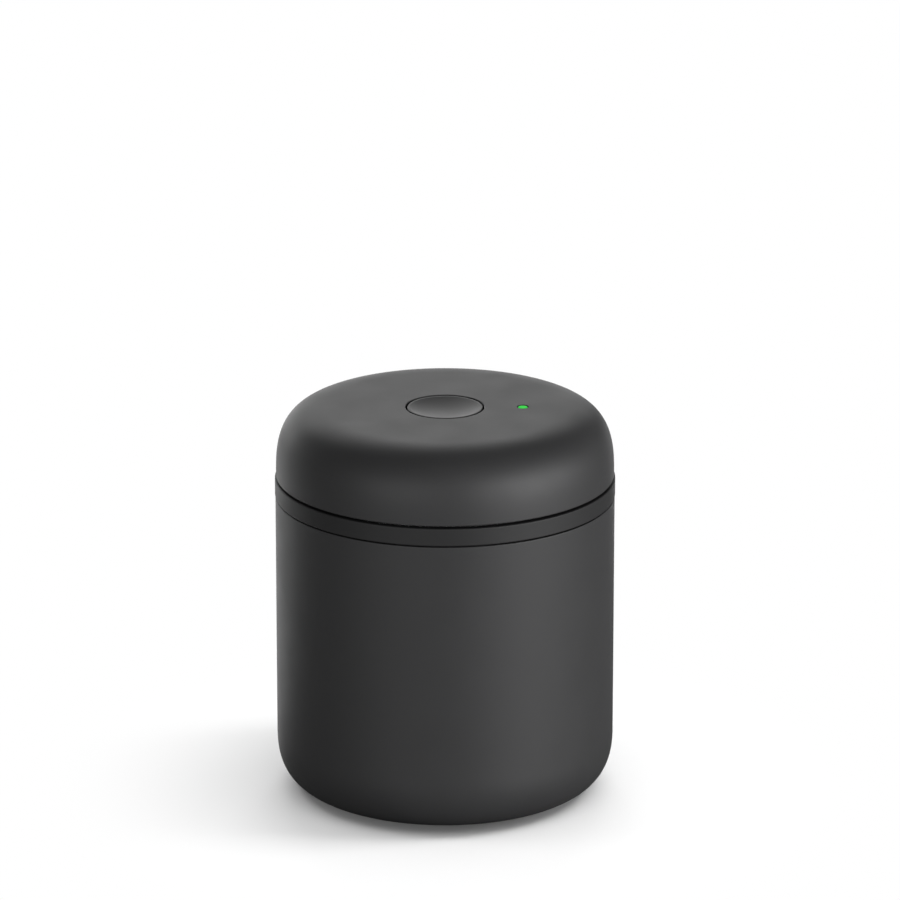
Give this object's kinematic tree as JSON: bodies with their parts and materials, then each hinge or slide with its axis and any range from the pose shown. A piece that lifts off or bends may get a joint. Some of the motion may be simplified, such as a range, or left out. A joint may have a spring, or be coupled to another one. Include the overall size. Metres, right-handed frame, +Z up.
{
  "type": "vacuum coffee canister",
  "caption": "Round coated steel food canister with a domed twist-pump lid, a dished release button and a green vacuum indicator.",
  "frame": {"origin": "middle of the resting face, on the surface that the canister stands on", "axes": "+Z up along the canister's axis, +X through the green indicator, -Y towards the front"},
  "size_m": [0.124, 0.124, 0.1449],
  "materials": {
    "shell_coating": "matte powder coat on steel, fine sandy grain",
    "lid_plastic": "soft matte moulded plastic",
    "collar_plastic": "darker matte moulded plastic",
    "plug_plastic": "satin moulded plastic",
    "nylon": "natural nylon",
    "dark_nylon": "dark nylon",
    "acetal": "white acetal",
    "grey_silicone": "satin silicone",
    "black_silicone": "matte silicone",
    "steel": "bright stainless steel",
    "green_plastic": "bright signal green, satin"
  },
  "bodies": {
    "canister": {"canister_body": "shell_coating", "foot_pad": "black_silicone"},
    "lid_base": {"plug_tray": "plug_plastic", "collar_ring": "collar_plastic", "mouth_gasket": "black_silicone", "glide_ring": "acetal", "pump_cylinder": "nylon", "cylinder_gasket": "black_silicone", "cylinder_screw_1": "steel", "cylinder_screw_2": "steel", "cylinder_screw_3": "steel", "inlet_valve": "grey_silicone", "filter_screen": "steel", "filter_cap": "plug_plastic", "button_spring": "steel"},
    "dome": {"lid_dome": "lid_plastic", "drive_ring": "dark_nylon", "drive_screw_1": "steel", "drive_screw_2": "steel", "drive_screw_3": "steel", "drive_screw_4": "steel", "indicator_housing": "plug_plastic", "indicator_cap": "plug_plastic", "indicator_diaphragm": "grey_silicone", "indicator_spring": "steel", "indicator_screw_1": "steel", "indicator_screw_2": "steel"},
    "piston": {"pump_piston": "acetal", "outer_piston_seal": "black_silicone", "inner_piston_seal": "black_silicone", "exhaust_valve": "grey_silicone"},
    "button": {"release_button": "lid_plastic", "valve_stem": "acetal", "valve_seal": "black_silicone"},
    "indicator": {"indicator_float": "green_plastic"}
  },
  "joints": [
    {"name": "lid_lift", "type": "slide", "parent": "canister", "child": "lid_base", "axis": [0, 0, 1], "range_m": [0, 0.08]},
    {"name": "dome_twist", "type": "hinge", "parent": "lid_base", "child": "dome", "pos_m": [0, 0, 0.1163], "axis": [0, 0, 1], "range_deg": [-45, 45]},
    {"name": "piston_stroke", "type": "slide", "parent": "lid_base", "child": "piston", "axis": [0, 0, 1], "range_m": [-0.006, 0.006]},
    {"name": "button_press", "type": "slide", "parent": "lid_base", "child": "button", "axis": [0, 0, 1], "range_m": [-0.003, 0], "stiffness_N_per_m": 600, "springref_m": 0.0025, "deforming": ["button_spring"]},
    {"name": "indicator_drop", "type": "slide", "parent": "dome", "child": "indicator", "axis": [0, 0, 1], "range_m": [-0.0018, 0], "deforming": ["indicator_spring"]}
  ],
  "couplings": [
    {"joint": "piston_stroke", "follows": "dome_twist", "m_per_rad": 0.0076394}
  ]
}
